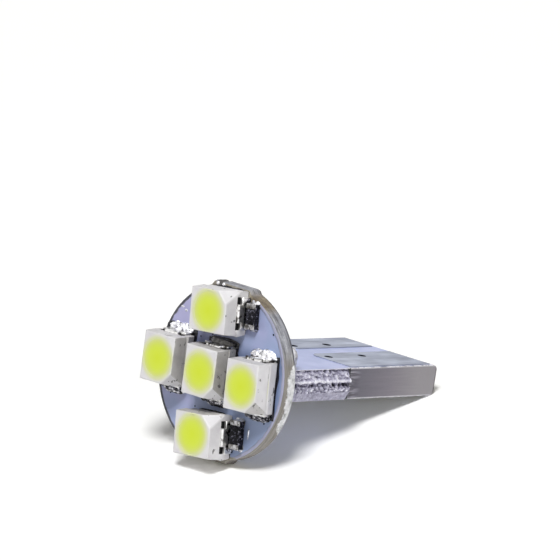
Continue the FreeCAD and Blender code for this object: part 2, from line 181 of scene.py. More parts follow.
def makeMaskedLaminate():
    # Glass-epoxy laminate under curtain-coated solder mask: a satin lilac film that cools to the right and down,
    # ends just inside the rim and at the snapped tabs, and leaves the cut glass cloth bare
    material, tree, shader = startMaterial("solderMaskedGlassEpoxy", {"Roughness": 0.4, "IOR": 1.5})
    place = bulbPlace(tree)
    x, y, z = addNode(tree, "SeparateXYZ", {0: place}).outputs
    flat = addNode(tree, "CombineXYZ", (x, z))
    radius = addNode(tree, "VectorMath:LENGTH", {0: flat}).outputs["Value"]
    wander = addNode(tree, "TexNoise", {0: place, "Scale": 2.2, "Detail": 3})  # 0.3 mm
    edge = addNode(tree, "Math:MULTIPLY_ADD", (wander, 0.2, radius))
    pastRim = addNode(tree, "MapRange", (edge, 5.38, 5.44))
    fromTab = addNode(tree, "Math:ABSOLUTE", {0: addNode(tree, "Math:ADD", (x, 0.075))})
    onTab = addNode(tree, "Math:LESS_THAN", (fromTab, 2.45))
    height = addNode(tree, "Math:MULTIPLY_ADD", (wander, 0.16, z))
    above = addNode(tree, "MapRange", (height, 4.70, 4.76))
    below = addNode(tree, "MapRange", (height, -4.82, -4.88))
    ends = addNode(tree, "Math:MAXIMUM", (above, below))
    bareTab = addNode(tree, "Math:MULTIPLY", (onTab, ends))
    fromMiddle = addNode(tree, "Math:ABSOLUTE", {0: addNode(tree, "Math:SUBTRACT", (y, 0.5))})
    cutSide = addNode(tree, "Math:LESS_THAN", (fromMiddle, 0.47))
    bareFace = addNode(tree, "Math:MAXIMUM", (bareTab, pastRim))
    bare = addNode(tree, "Math:MAXIMUM", (bareFace, cutSide))

    # The film, with the clouds of its coating and a drift from lilac at the upper left to blue grey
    cloud = addNode(tree, "TexNoise", {0: place, "Scale": 0.5, "Detail": 4})  # 1.4 mm
    rightwards = addNode(tree, "Math:MULTIPLY_ADD", (x, 0.07, cloud))
    drift = addNode(tree, "Math:MULTIPLY_ADD", (z, -0.045, rightwards))
    film = addNode(tree, "ValToRGB", {0: drift}, [
        (0.15, "#AFAED4"), (0.42, "#A3AACF"), (0.62, "#98A6CA"), (0.9, "#93A2C4")])
    # Painted shade: the film darkened blue grey between the right LED and the rim, where the LED shades the board
    uneven = addNode(tree, "Math:MULTIPLY_ADD", (wander, 0.15, x))
    besideLed = addNode(tree, "MapRange", {0: uneven, 1: 5.42, 2: 5.15, 4: 0.75})
    ledRow = addNode(tree, "MapRange", (addNode(tree, "Math:ABSOLUTE", {0: z}), 2.3, 1.4))
    paintedLedShade = addNode(tree, "Math:MULTIPLY", (besideLed, ledRow))
    film = addNode(tree, "Mix:RGBA", (paintedLedShade, film, "#5C6C90"))

    # Glass cloth cut through, in strata 0.15 mm apart and parallel to the faces: brown resin, grey yarn,
    # whitened in frays of 0.4 mm where the cutter tore it
    turn = addNode(tree, "Math:ARCTAN2", (z, x))
    along = addNode(tree, "Math:MULTIPLY", (turn, bulb["boardRadius"]))
    rim = addNode(tree, "CombineXYZ", (along, y))
    strataPlace = addNode(tree, "Mapping", {0: rim, "Scale": (0.5, 7, 1)})
    strata = addNode(tree, "TexNoise", {0: strataPlace, "Scale": 1.0, "Detail": 5, "Roughness": 0.65})
    fray = addNode(tree, "TexNoise", {0: rim, "Scale": 1.6, "Detail": 5, "Roughness": 0.7})
    share = addNode(tree, "MapRange", (turn, -math.pi, math.pi))  # 0.5 at three o'clock, 0.75 at twelve
    warm = addNode(tree, "ValToRGB", {0: strata}, [(0.3, "#6C6862"), (0.5, "#918C85"), (0.7, "#A9A79F")])
    grain = addNode(tree, "Math:MULTIPLY_ADD", (fray, 0.6, strata))
    cool = addNode(tree, "ValToRGB", {0: grain}, [
        (0.58, "#57575D"), (0.74, "#86868C"), (0.86, "#A2A3AA"), (0.98, "#C6C7CC")])
    high = addNode(tree, "MapRange", (share, 0.54, 0.58))
    resin = addNode(tree, "Mix:RGBA", (high, warm, cool))
    torn = addNode(tree, "ValToRGB", {0: fray}, [(0.34, "#8F8F8D"), (0.45, "#D6D7D8"), (0.6, "#F6F6F7")])
    # How far forward the white tears reach: from three to four o'clock, and in two stretches on the far side
    reaches = [(0.05, 0.0), (0.1, 0.65), (0.16, 0.65), (0.2, 0.0), (0.4, 0.0), (0.43, 0.56), (0.485, 0.58),
               (0.5, 0.66), (0.525, 0.66), (0.57, 0.0), (0.8, 0.0), (0.84, 0.65), (0.9, 0.65), (0.94, 0.0)]
    tearing = addNode(tree, "ValToRGB", {0: share}, reaches)
    deep = addNode(tree, "Math:MULTIPLY_ADD", (fray, 1.0, y))
    reach = addNode(tree, "Math:MULTIPLY_ADD", (tearing, 1.5, deep))
    tornShare = addNode(tree, "MapRange", (reach, 1.78, 1.9))
    cloth = addNode(tree, "Mix:RGBA", (tornShare, resin, torn))
    # Flux ran brown over the right shoulder of the upper tab
    fromStain = addNode(tree, "VectorMath:DISTANCE", (flat, (2.4, 5.0, 0))).outputs["Value"]
    brown = addNode(tree, "ValToRGB", {0: fray}, [(0.35, "#4E4232"), (0.55, "#85765A"), (0.7, "#A99C80")])
    runOver = addNode(tree, "MapRange", {0: fromStain, 1: 1.2, 2: 0.5, 4: 0.85})
    cloth = addNode(tree, "Mix:RGBA", (runOver, cloth, brown))
    # Painted shade: the back edge is darkened over the upper half, where the rim is seen edge on
    backEdge = addNode(tree, "MapRange", (y, 0.86, 0.92))
    upperHalf = addNode(tree, "ValToRGB", {0: share}, [(0.53, 0.0), (0.56, 0.9), (0.8, 0.9), (0.83, 0.0)])
    paintedBackEdgeShade = addNode(tree, "Math:MULTIPLY", (backEdge, upperHalf))
    side = addNode(tree, "Mix:RGBA", (paintedBackEdgeShade, cloth, "#303036"))
    # Bare laminate on the tabs: brown, with the weave of the cloth 0.5 mm apart showing through
    yarns = {"Scale": 1.0, "Color1": "#8B8373", "Color2": "#6F685C", "Mortar": "#54504A", "Mortar Size": 0.04,
             "Mortar Smooth": 0.8, "Brick Width": 0.5, "Row Height": 0.25}
    weave = addNode(tree, "TexBrick", {0: flat, **yarns})
    blotch = addNode(tree, "ValToRGB", {0: fray}, [(0.3, "#6A655B"), (0.5, "#A39E92"), (0.72, "#D6D3CB")])
    dry = addNode(tree, "Mix:RGBA", (0.55, weave, blotch))
    fluxStain = addNode(tree, "MapRange", {0: fromStain, 1: 1.1, 2: 0.4, 4: 0.85})
    tabFace = addNode(tree, "Mix:RGBA", (fluxStain, dry, brown))
    # Where the film stops short of the rim the resin shows, with a painted highlight on the right and painted shade
    # on the left
    fromLeft = addNode(tree, "MapRange", (x, -bulb["boardRadius"], bulb["boardRadius"]))
    paintedRimLine = addNode(tree, "ValToRGB", {0: fromLeft}, [(0.42, "#4C4C55"), (0.58, "#A5A6BE")])
    rimLine = addNode(tree, "Mix:RGBA", (pastRim, tabFace, paintedRimLine))
    face = addNode(tree, "Mix:RGBA", (bareTab, rimLine, tabFace))
    raw = addNode(tree, "Mix:RGBA", (cutSide, face, side))
    colour = addNode(tree, "Mix:RGBA", (bare, film, raw))
    dull = addNode(tree, "MapRange", {0: bare, 3: 0.38, 4: 0.75})
    tree.links.new(dull.outputs[0], shader.inputs["Roughness"])
    fibres = addNode(tree, "Math:ADD", (strata, fray))
    relief = addNode(tree, "Mix:FLOAT", {0: bare, 2: cloud, 3: fibres})
    paint(tree, shader, colour, relief, 0.06)
    return material


def makeWedgeLaminate():
    # The same laminate in the thicker board: lilac mask above and below, worn off along the sides,
    # and sides that a router left smooth, with chatter beside the shoulder
    material, tree, shader = startMaterial("routedGlassEpoxy", {"Roughness": 0.42, "IOR": 1.5})
    place = bulbPlace(tree)
    x, y, z = addNode(tree, "SeparateXYZ", {0: place}).outputs
    outward = addNode(tree, "Math:ABSOLUTE", {0: x})
    level = addNode(tree, "Math:ABSOLUTE", {0: z})
    onFace = addNode(tree, "MapRange", (level, 0.955, 0.975))
    cloud = addNode(tree, "TexNoise", {0: place, "Scale": 0.45, "Detail": 4})  # 1.5 mm
    film = addNode(tree, "ValToRGB", {0: cloud}, [(0.3, "#A8B1DA"), (0.5, "#B3BCE3"), (0.7, "#C2C8ED")])
    chips = addNode(tree, "TexNoise", {0: place, "Scale": 2.6, "Detail": 5, "Roughness": 0.7})  # 0.27 mm
    reach = addNode(tree, "Math:MULTIPLY_ADD", (chips, 0.35, outward))
    onInsert = addNode(tree, "MapRange", (y, 6.9, 7.2))
    atSide = addNode(tree, "MapRange", (reach, 3.98, 4.05))
    worn = addNode(tree, "Math:MULTIPLY", (atSide, onInsert))
    bareFace = addNode(tree, "ValToRGB", {0: chips}, [(0.39, "#4B4955"), (0.46, "#A9A7B4"), (0.54, "#F0EFF4")])
    top = addNode(tree, "Mix:RGBA", (worn, film, bareFace))

    # Streaks along the cut, 0.15 mm apart
    streaks = addNode(tree, "TexNoise", {
        0: bulbPlace(tree, (1, 0.35, 5)), "Scale": 1.0, "Detail": 4, "Roughness": 0.55})
    fade = addNode(tree, "MapRange", (y, bulb["shoulderEnd"], bulb["wedgeEnd"]))
    lightness = addNode(tree, "Math:MULTIPLY_ADD", (streaks, 0.28, fade))
    side = addNode(tree, "ValToRGB", {0: lightness}, [
        (0.05, "#56535E"), (0.3, "#65626D"), (0.62, "#7B767F"), (0.95, "#949094")])
    chatter = addNode(tree, "TexNoise", {0: bulbPlace(tree, (1, 0.8, 9)), "Scale": 1.0, "Detail": 3})  # 0.08 mm
    nearShoulder = addNode(tree, "MapRange", (y, 8.5, 7.2))
    steps = addNode(tree, "ValToRGB", {0: chatter}, [(0.42, "#3C3A45"), (0.5, "#6B6873"), (0.6, "#B0ADB8")])
    cutSide = addNode(tree, "Mix:RGBA", (nearShoulder, side, steps))
    # Painted highlight: a pale band along the rounded edges of the routed sides, as if lit from the floor
    highlightBand = addNode(tree, "MapRange", (level, 0.90, 0.93))
    paintedEdgeHighlight = addNode(tree, "Mix:RGBA", (highlightBand, cutSide, "#C9C6CC"))
    faces = addNode(tree, "Mix:RGBA", (onFace, paintedEdgeHighlight, top))
    # Painted shade along the rounded edges of the end, not over its face
    fromEdge = addNode(tree, "Math:ABSOLUTE", {0: addNode(tree, "Math:SUBTRACT", (y, 15.355))})
    paintedEndShade = addNode(tree, "MapRange", (fromEdge, 0.04, 0.025))
    colour = addNode(tree, "Mix:RGBA", (paintedEndShade, faces, "#4E4B54"))
    lines = addNode(tree, "Math:ADD", (streaks, chips))
    paint(tree, shader, colour, lines, 0.02)
    return material


def makeSnappedLaminate():
    # Laminate snapped along its V-grooves: lumps of torn yarn, toned by how deep each place is torn: painted
    # highlight where they stand out and painted shade in the gaps
    material, tree, shader = startMaterial("snappedGlassEpoxy", {"Roughness": 0.6, "IOR": 1.5})
    place = bulbPlace(tree)
    fibres = addNode(tree, "TexNoise", {0: place, "Scale": 3.5, "Detail": 5, "Roughness": 0.7})  # 0.2 mm
    depth = addNode(tree, "Attribute", {"attribute_name": "tornDepth"}).outputs["Fac"]
    uneven = addNode(tree, "Math:MULTIPLY_ADD", (fibres, 0.3, depth))
    paintedDepthShade = [(0.13, "#F4F3FA"), (0.18, "#CFCDDD"), (0.25, "#A19EB3"), (0.32, "#6D6A7E"), (0.39, "#2B2937"),
             (0.6, "#15141C")]
    colour = addNode(tree, "ValToRGB", {0: uneven}, paintedDepthShade)
    paint(tree, shader, colour, fibres, 0.05)
    return material


def makeLevelledTin():
    # Tin levelled with hot air over copper: satin blue grey with pools of 0.9 mm and wipe marks 0.25 mm apart
    material, tree, shader = startMaterial("hotAirLevelledTin", {"Metallic": 1, "Roughness": 0.66})
    pools = addNode(tree, "TexNoise", {0: bulbPlace(tree, (1, 0.5, 1)), "Scale": 0.8, "Detail": 4})
    wipes = addNode(tree, "TexNoise", {0: bulbPlace(tree, (1, 0.1, 1)), "Scale": 3.0, "Detail": 3})
    both = addNode(tree, "Math:MULTIPLY_ADD", (wipes, 0.35, pools))
    colour = addNode(tree, "ValToRGB", {0: both}, [(0.45, "#888C98"), (0.68, "#9BA0AE"), (0.9, "#B2B7C5")])
    paint(tree, shader, colour, both, 0.02)
    return material


# Materials with one grain. Each row: shader, grain, colours from its low to its high parts, depth of its relief
# in millimetres, and stretch of the grain. The comment before a row ends with the grain's size.
grainedMaterials = {
    # Painted shade inside a plated hole, nearly black, and dark specks of burnt flux on the board. 0.14 mm
    "boreShadeAndFluxSpecks": ({"Roughness": 0.7, "Specular IOR Level": 0.1}, {"Scale": 5, "Detail": 3},
        [(0.35, "#08080C"), (0.7, "#23232B")], 0.02),
    # Painted shade under the packages, where the board lies in their shadow: a thin glassy film, brown black. 0.3 mm
    "paintedShadeFilm": ({"Roughness": 0.25, "IOR": 1.48}, {"Scale": 2.2, "Detail": 4},
        [(0.35, "#0B0B12"), (0.6, "#1B1B26"), (0.75, "#3A3A4A")], 0.02),
    # Tin-lead solder, reflowed: silver white facets, with grey patches that are partly dried flux and partly painted
    # dark reflection. 0.2 mm
    "reflowedSolder": ({"Metallic": 1, "Roughness": 0.33}, {"Scale": 3.6, "Detail": 4, "Roughness": 0.65},
        [(0.32, "#3F3E44"), (0.4, "#A9A8AF"), (0.48, "#EDEDF1"), (0.7, "#FAFAFB")], 0.04),
    # The same solder fed in by hand between the boards: satin silver, slumped, grey in its hollows. 0.5 mm
    "handFedSolder": ({"Metallic": 1, "Roughness": 0.36}, {"Scale": 1.5, "Detail": 4, "Roughness": 0.6},
        [(0.32, "#77767B"), (0.44, "#BDBCC1"), (0.56, "#E2E1E4"), (0.7, "#F1F1F2")], 0.03),
    # The same solder, wrinkled and half covered by burnt flux: silver between black patches that are partly burnt
    # flux and partly painted dark reflection. 0.2 mm
    "creasedSolderFluxAndReflection": ({"Metallic": 1, "Roughness": 0.3}, {"Scale": 3.2, "Detail": 5, "Roughness": 0.7},
        [(0.42, "#0F0F14"), (0.49, "#504F55"), (0.55, "#A9A8AE"), (0.62, "#F2F2F5")], 0.06, (0.7, 1, 1.6)),
    # The same solder painted dark grey and smooth: painted dark reflection on the centre LED's flat anode solder, and
    # painted shade inside the edge via's half hole. 0.27 mm
    "shadeDarkenedSolder": ({"Metallic": 0.6, "Roughness": 0.4}, {"Scale": 2.6, "Detail": 4, "Roughness": 0.65},
        [(0.3, "#2B2A2B"), (0.48, "#5E5C5B"), (0.6, "#7B7977"), (0.72, "#B5B3B0")], 0.03),
    # Nickel barrier and plated tin over the resistor's ends: satin, stained brown grey by flux. 0.2 mm
    "platedTin": ({"Metallic": 1, "Roughness": 0.34}, {"Scale": 3.5, "Detail": 4, "Roughness": 0.65},
        [(0.35, "#4A4642"), (0.48, "#8F8D8A"), (0.6, "#DEDEE0")], 0.02),
    # Gallium nitride on sapphire, sawn and polished: clear and bluish. 0.1 mm
    "polishedSapphire": ({"Roughness": 0.05, "IOR": 1.77, "Transmission Weight": 0.6}, {"Scale": 7},
        [(0.3, "#9AAAC8"), (0.7, "#B8C4DC")], 0),
    # Drawn gold bond wire: warm and bright. 0.05 mm
    "drawnGold": ({"Metallic": 1, "Roughness": 0.2}, {"Scale": 14},
        [(0.3, "#D8AE55"), (0.7, "#EFCB7C")], 0),
}


def makeGrained(name, settings, grain, colours, depth, stretch=(1, 1, 1)):
    material, tree, shader = startMaterial(name, settings)
    grain = addNode(tree, "TexNoise", {0: bulbPlace(tree, stretch), **grain})
    paint(tree, shader, addNode(tree, "ValToRGB", {0: grain}, colours), grain, depth)
    return material


def makeSilverPlate():
    # Copper strip, silver plated and stamped: bright with faint drawing lines, and brown black where flux ran over it
    material, tree, shader = startMaterial("silverPlatedStrip", {"Metallic": 1, "Roughness": 0.3})
    lines = addNode(tree, "TexNoise", {0: bulbPlace(tree, (1, 0.2, 1)), "Scale": 3.0, "Detail": 2})
    runs = addNode(tree, "TexNoise", {0: bulbPlace(tree), "Scale": 1.6, "Detail": 5, "Roughness": 0.65})  # 0.45 mm
    tarnish = addNode(tree, "ValToRGB", {0: runs}, [(0.4, 1.0), (0.46, 0.0)])
    plate = addNode(tree, "ValToRGB", {0: lines}, [(0.3, "#DAD9D7"), (0.7, "#F4F3F1")])
    brown = addNode(tree, "ValToRGB", {0: lines}, [(0.3, "#1E1B19"), (0.7, "#6C6560")])
    paint(tree, shader, addNode(tree, "Mix:RGBA", (tarnish, plate, brown)), lines, 0.006)
    return material


def makeWhiteMoulding():
    # White polyamide, injection moulded: satin, tinted by the phosphor round the cup, with painted shade on
    # the walls between LEDs and some end walls, painted black shade in the pockets, and a smudge on the right LED's
    # cut corner
    material, tree, shader = startMaterial("mouldedWhitePolyamide", {"Roughness": 0.45, "IOR": 1.53})
    place = bulbPlace(tree)
    distance = fromCup(tree)
    cloud = addNode(tree, "TexNoise", {0: place, "Scale": 1.2, "Detail": 5, "Roughness": 0.6})  # 0.6 mm
    white = addNode(tree, "ValToRGB", {0: cloud}, [(0.3, "#D6D3D6"), (0.55, "#DEDCDE"), (0.75, "#E4E3E4")])
    ring = addNode(tree, "ValToRGB", {0: distance}, [
        (0.6, "#D6DC9A"), (0.66, "#D9DBB2"), (0.72, "#DBDBC8"), (0.8, "#DEDCDE")])
    share = addNode(tree, "ValToRGB", {0: distance}, [(0.66, 1.0), (0.82, 0.0)])
    clean = addNode(tree, "Mix:RGBA", (share, white, ring))
    # Painted shade on walls and in pockets, and the right LED's smudge, come from a face attribute
    shadeAndSmudge = addNode(tree, "Attribute", {"attribute_name": "shadeAndSmudge"}).outputs["Fac"]
    shadeAndSmudgeColour = addNode(tree, "ValToRGB", {0: cloud}, [(0.3, "#9C9994"), (0.5, "#B1AEA9"), (0.7, "#BFBCB8")])
    toShadeAndSmudge = addNode(tree, "MapRange", {0: shadeAndSmudge, 2: 0.5})
    toDark = addNode(tree, "MapRange", (shadeAndSmudge, 0.6))
    shadedAndSmudged = addNode(tree, "Mix:RGBA", (toShadeAndSmudge, clean, shadeAndSmudgeColour))
    # A few dark scratches and dots of flux on the walls, 0.3 mm long, where the noise peaks
    dirt = addNode(tree, "TexNoise", {
        0: bulbPlace(tree, (1.6, 1, 0.8)), "Scale": 2.6, "Detail": 2, "Roughness": 0.6})
    marks = addNode(tree, "MapRange", {0: dirt, 1: 0.645, 2: 0.68, 4: 0.8})
    onWall = addNode(tree, "Math:GREATER_THAN", (distance, 1.5))
    marked = addNode(tree, "Math:MULTIPLY", (marks, onWall))
    worn = addNode(tree, "Mix:RGBA", (marked, shadedAndSmudged, "#4A4744"))
    colour = addNode(tree, "Mix:RGBA", (toDark, worn, "#060607"))
    speck = addNode(tree, "TexNoise", {0: place, "Scale": 9.0, "Detail": 2})  # 0.08 mm
    paint(tree, shader, colour, speck, 0.004)
    return material


def makePhosphor():
    # Silicone filled with yellow phosphor, dispensed wet and cured: flush, and paler where it thins at the rim
    material, tree, shader = startMaterial("phosphorSilicone", {"Roughness": 0.38, "IOR": 1.41})
    place = bulbPlace(tree)
    distance = fromCup(tree)
    cloud = addNode(tree, "TexNoise", {0: place, "Scale": 1.8, "Detail": 4})  # 0.4 mm
    wander = addNode(tree, "Math:MULTIPLY_ADD", (cloud, 0.06, distance))
    tints = [(0.03, "#D3E332"), (0.36, "#D4E346"), (0.46, "#D4E158"), (0.52, "#D4DF6A"), (0.57, "#D5DD7E"),
             (0.61, "#D6DC92"), (0.66, "#D7DBA4")]
    colour = addNode(tree, "ValToRGB", {0: wander}, tints)
    paint(tree, shader, colour, addNode(tree, "TexNoise", {0: place, "Scale": 12}), 0.003)
    return material


def makeResistorGlaze():
    # Thick-film resistor under black overglaze, screen printed and fired: glossy, with a few pale specks of flux
    material, tree, shader = startMaterial("firedBlackGlaze", {"Roughness": 0.34, "IOR": 1.5,
                                                               "Specular IOR Level": 0.12})
    place = bulbPlace(tree)
    dust = addNode(tree, "TexNoise", {0: place, "Scale": 6.0, "Detail": 4, "Roughness": 0.7})  # 0.12 mm
    colour = addNode(tree, "ValToRGB", {0: dust}, [
        (0.42, "#050509"), (0.54, "#15151C"), (0.6, "#484854"), (0.68, "#B4B4C4")])
    paint(tree, shader, colour, addNode(tree, "TexNoise", {0: place, "Scale": 2.5, "Detail": 4}), 0.06)
    return material


maskedLaminate = makeMaskedLaminate()
wedgeLaminate = makeWedgeLaminate()
snappedLaminate = makeSnappedLaminate()
levelledTin = makeLevelledTin()
grained = {name: makeGrained(name, *row) for name, row in grainedMaterials.items()}
silverPlate = makeSilverPlate()
whiteMoulding = makeWhiteMoulding()
phosphorSilicone = makePhosphor()
resistorGlaze = makeResistorGlaze()
print("materials made")


# Shared steps of modelling

modelling = {
    "copyMerge": 0.0015,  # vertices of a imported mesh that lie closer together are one
    "bevelMerge": 0.001,  # the same after a bevel and where a package is cut across
    "fineMerge": 0.0005,  # the same where the board is cut and where a profile meets its axis
    "flatAngle": 1.5,  # triangles within this many degrees are one face
    "largestSmooth": 0.2e-6,  # square metres: a larger face is flat, so that its rounded edges don't shade it
}


def copyOf(node, placement=Matrix(), flatten=True):
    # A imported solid's mesh, in millimetres round its own place, with its triangles joined to flat faces
    mesh = bmesh.new()
    mesh.from_mesh(frame["nodes"][node].data)
    bmesh.ops.transform(mesh, matrix=(lieDown @ placement).inverted(), verts=mesh.verts)
    bmesh.ops.remove_doubles(mesh, verts=mesh.verts, dist=modelling["copyMerge"])
    if flatten:
        flatAngle = math.radians(modelling["flatAngle"])
        bmesh.ops.dissolve_limit(mesh, angle_limit=flatAngle, verts=mesh.verts, edges=mesh.edges)
    return mesh


def roundEdges(mesh, width, segments, least=28, keep=None, clamp=True):
    # Rounds the edges that turn by at least so many degrees and pass the test
    sharp = [edge for edge in mesh.edges if edge.is_manifold
             and edge.calc_face_angle(0) > math.radians(least) and (keep is None or keep(edge))]
    bmesh.ops.bevel(mesh, geom=sharp, offset=width, affect="EDGES", segments=segments, profile=0.5,
                    material=-1, clamp_overlap=clamp)
    bmesh.ops.remove_doubles(mesh, verts=mesh.verts, dist=modelling["bevelMerge"])


def cutAcross(mesh, place, direction, merge, clear=False):
    # Cuts every face that a plane meets, and with clear drops what lies beyond it
    bmesh.ops.bisect_plane(mesh, geom=mesh.verts[:] + mesh.edges[:] + mesh.faces[:], dist=merge,
                           plane_co=place, plane_no=direction, clear_outer=clear)


def closeHoles(mesh):
    bmesh.ops.holes_fill(mesh, edges=[edge for edge in mesh.edges if edge.is_boundary], sides=0)


def roughen(mesh, verts, depth, size, seed):
    # Each seed takes another part of the noise
    mesh.normal_update()
    moves = []
    for vert in verts:
        place = vert.co / size + Vector((seed, 2.3 * seed, 0))
        moves.append(vert.normal * depth * noise.fractal(place, 0.7, 2.1, 3))
    for vert, move in zip(verts, moves):
        vert.co += move


def finishPiece(name, mesh, materials, replaced=(), placement=Matrix(), smoothAngle=40):
    bmesh.ops.transform(mesh, matrix=lieDown @ placement, verts=mesh.verts)
    bmesh.ops.recalc_face_normals(mesh, faces=mesh.faces)
    data = bpy.data.meshes.new(name)
    mesh.to_mesh(data)
    mesh.free()
    for material in materials:
        data.materials.append(material)
    data.set_sharp_from_angle(angle=math.radians(smoothAngle))
    for polygon in data.polygons:
        polygon.use_smooth = polygon.area < modelling["largestSmooth"]
    piece = placeObject(name, data)
    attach(piece, "root")
    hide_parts(*replaced)


ledPlan = {"unit": 2.0, "farOut": (2, 2), "facing": 0.6}  # facing: cosine to the front


def keepPlan(mesh):
    # Each corner keeps its place over the LED's face, in units of two millimetres, and the walls lie far out
    plan = mesh.loops.layers.uv.new("ledPlan")
    mesh.normal_update()
    for face in mesh.faces:
        onFace = face.normal.z > ledPlan["facing"]
        for loop in face.loops:
            loop[plan].uv = loop.vert.co.xy / ledPlan["unit"] if onFace else ledPlan["farOut"]


# LED packages

ledPackage = {
    "edgeRounding": 0.06,
    "leadRounding": 0.02,
    "cupRadius": 1.2,
    "floorRadius": 0.95,
    "floorHeight": 1.0,
    "height": 1.9,
    "fillHeight": 1.893,
    "fillSteps": 8,
    "fillSides": 64,
    "halfWidth": 1.4,
    "roundedFrom": 1.15,  # edges this far across are rounded over their whole height
    "slack": 0.02,  # in finding what lies on the face or on a side
    "seam": (0.78, 0.85, 0.92, 1.0),  # heights of the groove that the mould's halves left
    "seamDepth": 0.035,
    "seamSlack": 0.005,
    # the lower half of the sides leans in by this much
    "undercut": {"center": 0.22, "left": 0.22, "right": 0.22, "top": 0.04, "bottom": 0.04},
    # pockets beside the leads, painted black as shade: from and to across, along and up the package
    "pocket": ((0.5, 1.06), (1.29, 1.585), (0.6, 1.01)),
    # walls with painted shade where they face a neighbour and on some end walls, and a smudge on the right LED's cut
    # corner: direction across and along the package, and how much
    "shadedAndSmudgedWalls": {
        "center": ((1, 0, 0.5), (-1, 0, 0.5), (0, 1, 0.35)),
        "left": ((1, 0, 0.36), (0, 1, 0.2)),
        "right": ((-1, 0, 0.5), (0, 1, 0.15), (0.55, -0.8, 0.3)),
        "top": ((-1, 0, 0.5), (0, -1, 0.14)),
        "bottom": ((1, 0, 0.45), (0, -1, 0.1)),
    },
    "wallFacing": 0.7,  # cosine between a wall and that direction
    "wallsFrom": 1.25,  # walls lie farther from the axis than the cup
}


def makeHousing(name):
    placement = ledPlacement(name)
    mesh = copyOf(f"led_housing_{name}", placement)
    for across in ((1, 0, 0), (0, 1, 0)):  # quarters the ring of the face round the cup
        cutAcross(mesh, (0, 0, 0), across, modelling["bevelMerge"])
    for height in ledPackage["seam"]:
        cutAcross(mesh, (0, 0, height), (0, 0, 1), modelling["bevelMerge"])
    low, high = ledPackage["seam"][1:3]
    slack, seamSlack = ledPackage["slack"], ledPackage["seamSlack"]
    for vert in mesh.verts:
        if abs(vert.co.x) > ledPackage["halfWidth"] - slack:
            inward = ledPackage["seamDepth"] if low - seamSlack < vert.co.z < high + seamSlack else 0
            inward += ledPackage["undercut"][name] * max(0, (low - vert.co.z) / low)
            vert.co.x -= math.copysign(inward, vert.co.x)

    def outside(vert):
        onFace = vert.co.z > ledPackage["height"] - slack and vert.co.xy.length > ledPackage["cupRadius"] + slack
        return onFace or abs(vert.co.x) > ledPackage["roundedFrom"]

    roundEdges(mesh, ledPackage["edgeRounding"], 3, keep=lambda edge: all(outside(vert) for vert in edge.verts),
               clamp=False)
    keepPlan(mesh)
    # Faces that take painted shade: walls facing a neighbour, some end walls and the pockets; and the right LED's
    # smudge
    shadeAndSmudge = mesh.faces.layers.float.new("shadeAndSmudge")
    mesh.normal_update()
    for face in mesh.faces:
        centre = face.calc_center_median()
        for across, along, amount in ledPackage["shadedAndSmudgedWalls"][name]:
            facing = face.normal.x * across + face.normal.y * along
            if facing > ledPackage["wallFacing"] and centre.xy.length > ledPackage["wallsFrom"]:
                face[shadeAndSmudge] = amount
        if all(start < abs(place) < end for place, (start, end) in zip(centre, ledPackage["pocket"])):
            face[shadeAndSmudge] = 1.0
    finishPiece(f"ledHousing{name.capitalize()}", mesh, [whiteMoulding],
                [f"led_housing_{name}"], placement)


def makePhosphorFill(name):
    # Lathed: silicone that fills the cup flush with the face
    mesh = bmesh.new()
    fill = ledPackage["fillHeight"]
    floor, floorRadius = ledPackage["floorHeight"], ledPackage["floorRadius"]
    slope = (ledPackage["cupRadius"] - floorRadius) / (ledPackage["height"] - floor)
    rim = floorRadius + slope * (fill - floor)
    profile = [(rim * step / ledPackage["fillSteps"], fill) for step in range(ledPackage["fillSteps"] + 1)]
    profile += [(floorRadius, floor), (0, floor)]
    points = [mesh.verts.new((radius, 0, height)) for radius, height in profile]
    edges = [mesh.edges.new(pair) for pair in zip(points, points[1:])]
    bmesh.ops.spin(mesh, geom=points + edges, cent=(0, 0, 0), axis=(0, 0, 1), angle=math.tau,
                   steps=ledPackage["fillSides"], use_merge=True)
    bmesh.ops.remove_doubles(mesh, verts=mesh.verts, dist=modelling["fineMerge"])
    keepPlan(mesh)
    finishPiece(f"ledPhosphor{name.capitalize()}", mesh, [phosphorSilicone],
                [f"led_phosphor_{name}"], ledPlacement(name))


def makeLeads(name):
    for lead in ("anode", "cathode"):
        placement = ledPlacement(name)
        mesh = copyOf(f"led_{lead}_{name}", placement)
        roundEdges(mesh, ledPackage["leadRounding"], 1)
        finishPiece(f"led{lead.capitalize()}{name.capitalize()}", mesh, [silverPlate],
                    [f"led_{lead}_{name}"], placement)


for ledName in ledPlaces:
    makeHousing(ledName)
    makePhosphorFill(ledName)
    makeLeads(ledName)
    for node, finish in (("led_chip_", "polishedSapphire"), ("led_bond_wire_", "drawnGold")):
        slots = frame["nodes"][node + ledName].data.materials
        slots.clear()
        slots.append(grained[finish])
print("LED packages made")


# Solder on the leads and between the boards

